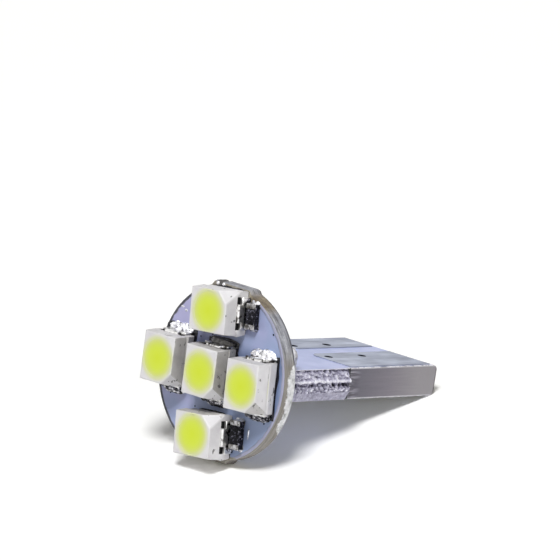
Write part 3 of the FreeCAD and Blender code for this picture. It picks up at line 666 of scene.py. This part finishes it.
solderFinishes = {"bright": "reflowedSolder", "creased": "creasedSolderFluxAndReflection", "dull": "shadeDarkenedSolder"}
lump = {
    "cuts": 15,
    "taper": 0.4,  # share by which the ends are lower than the middle
    "wave": (0.18, 5),  # height and number of the swells along the solder
    "bedded": 0.02,  # share of its reach and height that lies still on the board and the lead
    "smoothing": 0.3,
}
ledSolder = {
    "smoothAngle": 20,
    "width": 1.95,
    "height": 0.45,
    "leadFace": 1.75,
    # reach, fullness, lump depth, lump size, finish, seed
    # The centre anode's dull finish is painted dark as a reflection of dark surroundings
    "center": ((0.36, 0.8, 0.02, 0.6, "dull", 3), (0.50, 0.7, 0.12, 0.25, "creased", 5)),
    "left": ((0.55, 0.75, 0.15, 0.2, "bright", 12), (0.50, 0.7, 0.14, 0.2, "creased", 8)),
    "right": ((0.55, 0.85, 0.15, 0.24, "bright", 21), (0.50, 0.7, 0.14, 0.2, "creased", 9)),
    "top": ((0.30, 0.4, 0.06, 0.3, "bright", 14), (0.06, 0.5, 0.02, 0.3, "creased", 15)),
    "bottom": ((0.30, 0.4, 0.06, 0.3, "bright", 17), (0.06, 0.5, 0.02, 0.3, "creased", 18)),
    # height of the solder along the lead, from one side to the other
    "crowns": {
        ("right", "anode"): ((-1, 0.75), (-0.75, 0.95), (-0.5, 0.8), (-0.36, 0.35), (-0.2, 0.95), (0.3, 1.0),
                             (0.9, 0.85), (1, 0.5)),
        ("left", "anode"): ((-1, 0.5), (-0.8, 0.9), (-0.45, 0.8), (-0.3, 1.0), (0.1, 0.75), (0.35, 0.95),
                            (0.7, 0.8), (1, 0.5)),
    },
}


def crownAt(crown, across):
    for (start, low), (end, high) in zip(crown, crown[1:]):
        if start <= across <= end:
            return low + (high - low) * (across - start) / (end - start)
    return crown[-1][1]


levelCrown = ((-1, 1), (1, 1))


def makeLump(width, reach, height, fullness, lumpDepth, lumpSize, seed, crown=levelCrown):
    # A block whose free corner is pulled in to a fillet, then made uneven
    mesh = bmesh.new()
    bmesh.ops.create_cube(mesh, size=1)
    bmesh.ops.subdivide_edges(mesh, edges=mesh.edges, cuts=lump["cuts"], use_grid_fill=True)
    waveHeight, waves = lump["wave"]
    for vert in mesh.verts:
        across, out, rise = vert.co.x, vert.co.y + 0.5, vert.co.z + 0.5
        swell = 1 - lump["taper"] * abs(2 * across) ** 3
        swell += waveHeight * noise.noise(Vector((across * waves, seed, 0)))
        swell *= crownAt(crown, 2 * across)
        vert.co = Vector((across * width,
                          out * (1 - (1 - fullness) * rise) * reach * swell,
                          rise * (1 - (1 - fullness) * out) * height * swell))
    bedded = lump["bedded"]
    free = [vert for vert in mesh.verts if vert.co.y > bedded * reach and vert.co.z > bedded * height]
    roughen(mesh, free, lumpDepth, lumpSize, seed)
    for vert in mesh.verts:
        vert.co.y = min(max(vert.co.y, 0), reach)
        vert.co.z = min(max(vert.co.z, 0), height)
    bmesh.ops.smooth_vert(mesh, verts=free, factor=lump["smoothing"], use_axis_x=True, use_axis_y=True,
                          use_axis_z=True)
    return mesh


def makeLedSolder(name):
    for index, (lead, turn) in enumerate((("anode", 0), ("cathode", 180))):
        reach, fullness, lumpDepth, lumpSize, finish, seed = ledSolder[name][index]
        crown = ledSolder["crowns"].get((name, lead), levelCrown)
        mesh = makeLump(ledSolder["width"], reach, ledSolder["height"], fullness, lumpDepth, lumpSize, seed, crown)
        placement = ledPlacement(name) @ Matrix.Rotation(math.radians(turn), 4, "Z")
        placement = placement @ Matrix.Translation((0, ledSolder["leadFace"], 0))
        finishPiece(f"{lead}Solder{name.capitalize()}", mesh, [grained[solderFinishes[finish]]],
                    [f"{lead}_solder_{name}"], placement, smoothAngle=ledSolder["smoothAngle"])


for ledName in ledPlaces:
    makeLedSolder(ledName)

jointSolder = {
    "x": 3.35,
    # width, length along the wedge, height up the disc, fullness, shift to the side
    "upper_right": (1.5, 1.75, 1.5, 0.85, 0.1),
    "upper_left": (1.3, 1.3, 1.4, 0.5, 0),
    "lower_right": (1.3, 1.3, 1.4, 0.5, 0),
    "lower_left": (1.3, 1.3, 1.4, 0.5, 0),
    "lumpDepth": 0.1,
    "lumpSize": 0.55,
    "firstSeed": 20,
    "smoothAngle": 25,
}


def makeJointSolder():
    corners = enumerate(((1, -1), (1, 1), (-1, -1), (-1, 1)), jointSolder["firstSeed"])
    for seed, (level, side) in corners:
        name = ("upper" if level > 0 else "lower") + "_" + ("left" if side < 0 else "right")
        width, length, height, fullness, shift = jointSolder[name]
        mesh = makeLump(width, length, height, fullness, jointSolder["lumpDepth"], jointSolder["lumpSize"], seed)
        flip = Matrix.Scale(level, 4, (0, 0, 1))
        x = side * (jointSolder["x"] + shift)
        place = Matrix.Translation((x, bulb["boardThickness"], level * bulb["coreHalf"]))
        finishPiece("jointSolder" + name.title().replace("_", ""), mesh, [grained["handFedSolder"]],
                    [f"joint_solder_{name}"], place @ flip, smoothAngle=jointSolder["smoothAngle"])


makeJointSolder()
print("solder made")


# Chip resistors

chipResistor = {"rounding": 0.06, "solderCuts": 3, "solderSwell": 0.2, "solderDepth": 0.05, "solderSize": 0.2,
                "solderSeed": 3}


def makeResistors():
    for name in ("upper", "lower"):
        mesh = copyOf(f"{name}_resistor")
        roundEdges(mesh, chipResistor["rounding"], 3)
        finishPiece(f"{name}Resistor", mesh, [resistorGlaze], [f"{name}_resistor"])
        for end in ("inner", "outer"):
            mesh = copyOf(f"{name}_resistor_cap_{end}")
            roundEdges(mesh, chipResistor["rounding"], 3)
            finishPiece(f"{name}ResistorCap{end.capitalize()}", mesh, [grained["platedTin"]],
                        [f"{name}_resistor_cap_{end}"])
            mesh = copyOf(f"{name}_resistor_solder_{end}", flatten=False)
            bmesh.ops.subdivide_edges(mesh, edges=mesh.edges, cuts=chipResistor["solderCuts"],
                                      smooth=chipResistor["solderSwell"], use_grid_fill=True)
            roughen(mesh, mesh.verts, chipResistor["solderDepth"], chipResistor["solderSize"],
                    chipResistor["solderSeed"])
            finishPiece(f"{name}ResistorSolder{end.capitalize()}", mesh, [grained["reflowedSolder"]],
                        [f"{name}_resistor_solder_{end}"])


makeResistors()
print("resistors made")


# Round board

roundBoard = {"edgeRounding": 0.04, "least": 40}


def makeRoundBoard():
    mesh = copyOf("led_board")
    roundEdges(mesh, roundBoard["edgeRounding"], 2, roundBoard["least"])
    finishPiece("ledBoard", mesh, [maskedLaminate], ["led_board"])
    mesh = copyOf("edge_via_plating")
    # The half hole's plating is painted dark as the hole's shade
    finishPiece("edgeViaPlating", mesh, [grained["shadeDarkenedSolder"]], ["edge_via_plating"])


makeRoundBoard()
print("round board made")


# Wedge board, its snapped edges and its contacts

wedge = {
    "edgeRounding": 0.05,
    "endRounding": 0.11,  # over and under the end, worn by sockets
    "endFrom": 15,
    "endEdge": 5,  # only edges longer than this run across the end
    "least": 40,
    "cutAt": 4.005,  # the snapped edges are made apart from here outwards
    "cutSlack": 0.003,
    "insertX": 4.0,
    "faceX": 4.15,
    "webX": 4.6,
    "webHalf": 0.34,
    "routerRadius": 0.5,
    "contactRounding": 0.02,
    "boreRadius": 0.27,
    "boreSlack": 0.03,
    "boreRounding": 0.15,  # rim of each plated hole, rounded and painted black as the hole's shade
    "boreClear": 0.45,  # edges farther from a hole belong to the contact's outline
    "holes": {"left": -2.0, "right": 1.15},
    "rows": (8.3, 11.35),
}

snap = {
    "across": 66,
    "along": 140,
    "lumpSize": 0.22,  # lumps of torn yarn
    "lumpDepth": (0.13, 0.65),  # and the share that is torn away everywhere
    "lip": (0.16, 0.09, 0.07),  # groove under the upper face, painted dark as shade by its depth: depth, place below it and half width
    "lipShare": (0.6, 0.3),  # of that depth that runs right along, and the length of its swells
    "ridge": (0.31, 0.07),  # height and half width of the crest that stands out
    "ridgeRise": 0.16,
    "ridgeWander": (0.07, 0.45),  # how far it wanders, and over which length
    "gap": (0.04, 0.12),  # height and half width of the row of holes
    "gapDepth": 0.34,
    "gapPitch": (0.27, 0.13),  # of the holes and of the finer ones between them
    "gapFiner": 0.6,  # strength of the finer ones
    "gapOpen": 0.25,  # the higher, the more of the row is open
    "gapWander": 0.08,  # how far the row wanders up and down
    "margin": 0.12,  # from the faces inwards, the tearing grows to its full depth
    "smoothBelow": -0.38,  # the lower groove's face is nearly smooth
    "smoothShare": 0.3,
    "paleBelow": 0.08,  # least tone of that face
    "deepest": 0.42,
    "smoothAngle": 60,
    "corner": (0.5, 0.2),  # painted shade of the routed corner, and the length over which it sets in
}


def makeWedgeBoard():
    mesh = copyOf("wedge_board")
    for side in (1, -1):
        cutAcross(mesh, (side * wedge["cutAt"], 0, 0), (side, 0, 0), modelling["fineMerge"], clear=True)
    closeHoles(mesh)
    bmesh.ops.recalc_face_normals(mesh, faces=mesh.faces)
    acrossEnd = [edge for edge in mesh.edges if edge.calc_length() > wedge["endEdge"]
                 and all(vert.co.y > wedge["endFrom"] for vert in edge.verts)]
    bmesh.ops.bevel(mesh, geom=acrossEnd, offset=wedge["endRounding"], affect="EDGES", segments=3, profile=0.5,
                    material=-1)
    nearSide = wedge["cutAt"] - wedge["cutSlack"]
    roundEdges(mesh, wedge["edgeRounding"], 2, wedge["least"],
               lambda edge: all(abs(vert.co.x) < nearSide for vert in edge.verts))
    finishPiece("wedgeBoard", mesh, [wedgeLaminate], ["wedge_board"])


def tearDepth(y, z, side):
    # How far the torn web falls short of its full width at one place. The bare numbers in the vectors pick
    # places in the noise, so that its uses and the two sides differ.
    lumps = noise.fractal(Vector((side * 9, y, z * 1.3)) / snap["lumpSize"], 0.5, 2.1, 4)
    lumpDepth, everywhere = snap["lumpDepth"]
    depth = lumpDepth * (everywhere + lumps)
    (crest, crestWidth), (wander, wanderLength) = snap["ridge"], snap["ridgeWander"]
    crest += wander * noise.noise(Vector((y / wanderLength, 5.5, side)))
    depth -= snap["ridgeRise"] * math.exp(-((z - crest) / crestWidth) ** 2)
    (gap, gapWidth), (pitch, finerPitch) = snap["gap"], snap["gapPitch"]
    hole = noise.noise(Vector((y / pitch, side * 3.3, 0.4)))
    hole += snap["gapFiner"] * noise.noise(Vector((y / finerPitch, 7.1, side)))
    gap += snap["gapWander"] * hole
    depth += snap["gapDepth"] * max(0, hole + snap["gapOpen"]) * math.exp(-((z - gap) / gapWidth) ** 2)
    return max(0.0, depth)


def makeSnappedEdge(side):
    # A sheet of small faces wrapped round the section of the shoulder's edge, then torn
    half, inside, radius = bulb["coreHalf"], wedge["insertX"], wedge["routerRadius"]
    upper = [(inside, half), (wedge["faceX"], half), (wedge["webX"], wedge["webHalf"])]
    section = upper + [(x, -z) for x, z in reversed(upper)]
    lengths = [(Vector(b) - Vector(a)).length for a, b in zip(section, section[1:])]
    total = sum(lengths)
    yEnd = bulb["shoulderEnd"] + radius
    mesh = bmesh.new()
    tornDepth = mesh.verts.layers.float.new("tornDepth")
    bmesh.ops.create_grid(mesh, x_segments=snap["across"], y_segments=snap["along"], size=0.5)
    for vert in mesh.verts:
        travel = (vert.co.x + 0.5) * total
        y = bulb["boardThickness"] + (vert.co.y + 0.5) * (yEnd - bulb["boardThickness"])
        index = 0
        while index < len(lengths) - 1 and travel > lengths[index]:
            travel -= lengths[index]
            index += 1
        x, z = Vector(section[index]).lerp(Vector(section[index + 1]), min(1, travel / lengths[index]))
        torn = min(1, max(0, (half - abs(z)) / snap["margin"]))
        if index not in (0, 4):  # not on the upper and the lower face
            (lipDepth, lipBelow, lipHalf), (even, swells) = snap["lip"], snap["lipShare"]
            lip = math.exp(-((z - half + lipBelow) / lipHalf) ** 2) if z > 0 else 0
            low = z < snap["smoothBelow"]
            depth = torn * (snap["smoothShare"] if low else 1) * tearDepth(y, z, side)
            depth += lip * lipDepth * (even + noise.noise(Vector((y / swells, side, 4.0))))
            x -= min(depth, snap["deepest"])
            cornerShade, cornerLength = snap["corner"]
            cornerShade *= min(1, max(0, (y - bulb["shoulderEnd"]) / cornerLength))
            vert[tornDepth] = max(depth, snap["paleBelow"] if low else 0, cornerShade)
        if y > bulb["shoulderEnd"]:
            x = min(x, inside + radius - math.sqrt(max(0, radius ** 2 - (yEnd - y) ** 2)))
        vert.co = Vector((side * max(x, inside), y, z))
    closeHoles(mesh)
    name = "Left" if side < 0 else "Right"
    finishPiece(f"snappedEdge{name}", mesh, [snappedLaminate],
                smoothAngle=snap["smoothAngle"])


def makeContacts():
    for side in ("left", "right"):
        mesh = copyOf(f"{side}_contact")

        def fromHole(place):
            return min((place.xy - Vector((wedge["holes"][side], row))).length for row in wedge["rows"])

        def onBore(vert):
            return abs(fromHole(vert.co) - wedge["boreRadius"]) < wedge["boreSlack"]

        roundEdges(mesh, wedge["boreRounding"], 2, wedge["least"], lambda edge: all(map(onBore, edge.verts)))
        roundEdges(mesh, wedge["contactRounding"], 2, wedge["least"],
                   lambda edge: all(fromHole(vert.co) > wedge["boreClear"] for vert in edge.verts))
        # Each hole's wall and rounded rim take the black painted shade
        for face in mesh.faces:
            if fromHole(face.calc_center_median()) < wedge["boreRadius"] + wedge["boreRounding"]:
                face.material_index = 1
        finishPiece(f"{side}Contact", mesh, [levelledTin, grained["boreShadeAndFluxSpecks"]],
                    [f"{side}_contact"])


makeWedgeBoard()
makeSnappedEdge(1)
makeSnappedEdge(-1)
makeContacts()
print("wedge made")


# Beads and specks that soldering left on the round board: x, z and the two half widths across and up

specks = {
    "dark": ((4.02, 3.27, 0.07, 0.06), (-2.11, 1.83, 0.05, 0.04), (-1.11, 2.18, 0.06, 0.05),
             (-1.76, -2.56, 0.06, 0.05), (4.31, -2.26, 0.06, 0.06), (-4.02, -2.2, 0.05, 0.04)),
    "bright": ((-1.31, 5.38, 0.12, 0.12), (-0.79, 5.38, 0.13, 0.12), (3.12, -3.18, 0.06, 0.36),
               (-4.03, 3.31, 0.16, 0.05), (-3.68, 3.12, 0.12, 0.08), (1.95, 4.95, 0.1, 0.05),
               (4.45, -1.95, 0.1, 0.07)),
    "rise": 0.035,
    "unevenness": 0.02,
    "unevenSize": 0.06,
}


def makeSpecks():
    for kind, material in (("dark", grained["boreShadeAndFluxSpecks"]), ("bright", grained["reflowedSolder"])):
        for index, (x, z, across, up) in enumerate(specks[kind]):
            mesh = bmesh.new()
            bmesh.ops.create_icosphere(mesh, subdivisions=3, radius=1)
            bmesh.ops.transform(mesh, matrix=Matrix.Diagonal((across, specks["rise"], up, 1)), verts=mesh.verts)
            roughen(mesh, mesh.verts, specks["unevenness"], specks["unevenSize"], index)
            finishPiece(f"{kind}Speck{index + 1}", mesh, [material],
                        placement=Matrix.Translation((x, 0, z)))


makeSpecks()
print("specks made")


# Painted shade: a thin dark film on the board under each LED, where it lies in the LED's shadow

shadePool = {
    "halfWidth": {"center": 1.42, "left": 1.42, "right": 1.33, "top": 1.42, "bottom": 1.42},
    "halfLength": {"center": 2.12, "left": 2.1, "right": 2.1, "top": 1.66, "bottom": 1.66},
    "rise": 0.03,
    "unevenness": 0.08,
    "unevenSize": 0.4,
    "squareness": 0.8,  # of its outline: 0 is an ellipse and 1 a rectangle
    "sides": 96,
    "seedStep": 3.7,
}


def makeShadePool(name, seed):
    # A circle drawn out towards a rectangle, with an uneven edge
    mesh = bmesh.new()
    bmesh.ops.create_circle(mesh, cap_ends=True, segments=shadePool["sides"], radius=1)
    for vert in mesh.verts:
        reach = max(abs(vert.co.x), abs(vert.co.y))
        square = vert.co.xy / reach
        wander = 1 + shadePool["unevenness"] * noise.noise(Vector((square.x, square.y, seed)) / shadePool["unevenSize"])
        spread = vert.co.xy.lerp(square, shadePool["squareness"]) * wander
        vert.co = Vector((spread.x * shadePool["halfWidth"][name], spread.y * shadePool["halfLength"][name], 0))
    pool = bmesh.ops.extrude_face_region(mesh, geom=mesh.faces[:])
    raised = [item for item in pool["geom"] if isinstance(item, bmesh.types.BMVert)]
    bmesh.ops.translate(mesh, vec=(0, 0, shadePool["rise"]), verts=raised)
    finishPiece(f"shadePool{name.capitalize()}", mesh, [grained["paintedShadeFilm"]],
                placement=ledPlacement(name))


for seed, ledName in enumerate(ledPlaces):
    makeShadePool(ledName, seed * shadePool["seedStep"])
print("flux pools made")


# Floor and light

studio = {
    "floorHalf": 3,  # metres
    "aim": (0, 0, 0.004),  # the lamps point at the middle of the bulb
    "floorColour": "#FFFFFF",
    "liftColour": "#FFFBE2",  # warm, against the lilac that the boards throw into their shadow
    "floorLift": 0.10,
    "worldLevel": 0.10,  # for light that falls on the bulb, where the camera sees full white
    # place in metres, width in metres, share of full white that it gives a surface facing it
    "lamps": (
        ("overheadSoftbox", (0.80, -0.95, 2.70), 0.90, 0.91),
        ("frontSoftbox", (-1.75, -2.40, 1.40), 1.50, 0.03),
        ("rightSoftbox", (2.60, -0.40, 0.90), 1.50, 0.12),
    ),
}


def makeStudio():
    mesh = bmesh.new()
    bmesh.ops.create_grid(mesh, x_segments=1, y_segments=1, size=studio["floorHalf"])
    data = bpy.data.meshes.new("studioFloor")
    mesh.to_mesh(data)
    mesh.free()
    floor = placeObject("studioFloor", data)
    # White paper, matt, lifted a little where the camera sees it so that it is plain white round the shadow
    paper, tree, shader = startMaterial("mattPaper", {
        "Base Color": studio["floorColour"], "Roughness": 0.9, "Specular IOR Level": 0,
        "Emission Color": studio["liftColour"]})
    path = addNode(tree, "LightPath")
    lift = addNode(tree, "MapRange", {0: path.outputs["Is Camera Ray"], 3: 0.0, 4: studio["floorLift"]})
    tree.links.new(socketOf(lift), shader.inputs["Emission Strength"])
    data.materials.append(paper)

    world = bpy.data.worlds.new("studioWorld")
    bpy.context.scene.world = world
    world.use_nodes = True
    tree = world.node_tree
    tree.nodes.clear()
    path = addNode(tree, "LightPath")
    seen = addNode(tree, "Math:MAXIMUM", (path.outputs["Is Camera Ray"], path.outputs["Is Glossy Ray"]))
    seen = addNode(tree, "Math:MAXIMUM", (seen, path.outputs["Is Transmission Ray"]))
    level = addNode(tree, "MapRange", {0: seen, 3: studio["worldLevel"], 4: 1.0})
    back = addNode(tree, "Background", {"Strength": level, "Color": "#FFFFFF"})
    addNode(tree, "OutputWorld", {"Surface": back})

    for name, place, width, share in studio["lamps"]:
        lamp = bpy.data.lights.new(name, "AREA")
        lamp.shape = "SQUARE"
        lamp.size = width
        lamp.energy = share * (math.pi * Vector(place).length) ** 2
        holder = placeObject(name, lamp)
        holder.location = place
        aim = Vector(studio["aim"]) - Vector(place)
        holder.rotation_euler = aim.to_track_quat("-Z", "Y").to_euler()


makeCamera()
makeStudio()
bpy.context.scene.view_settings.view_transform = "Standard"
print("camera, floor and light set")
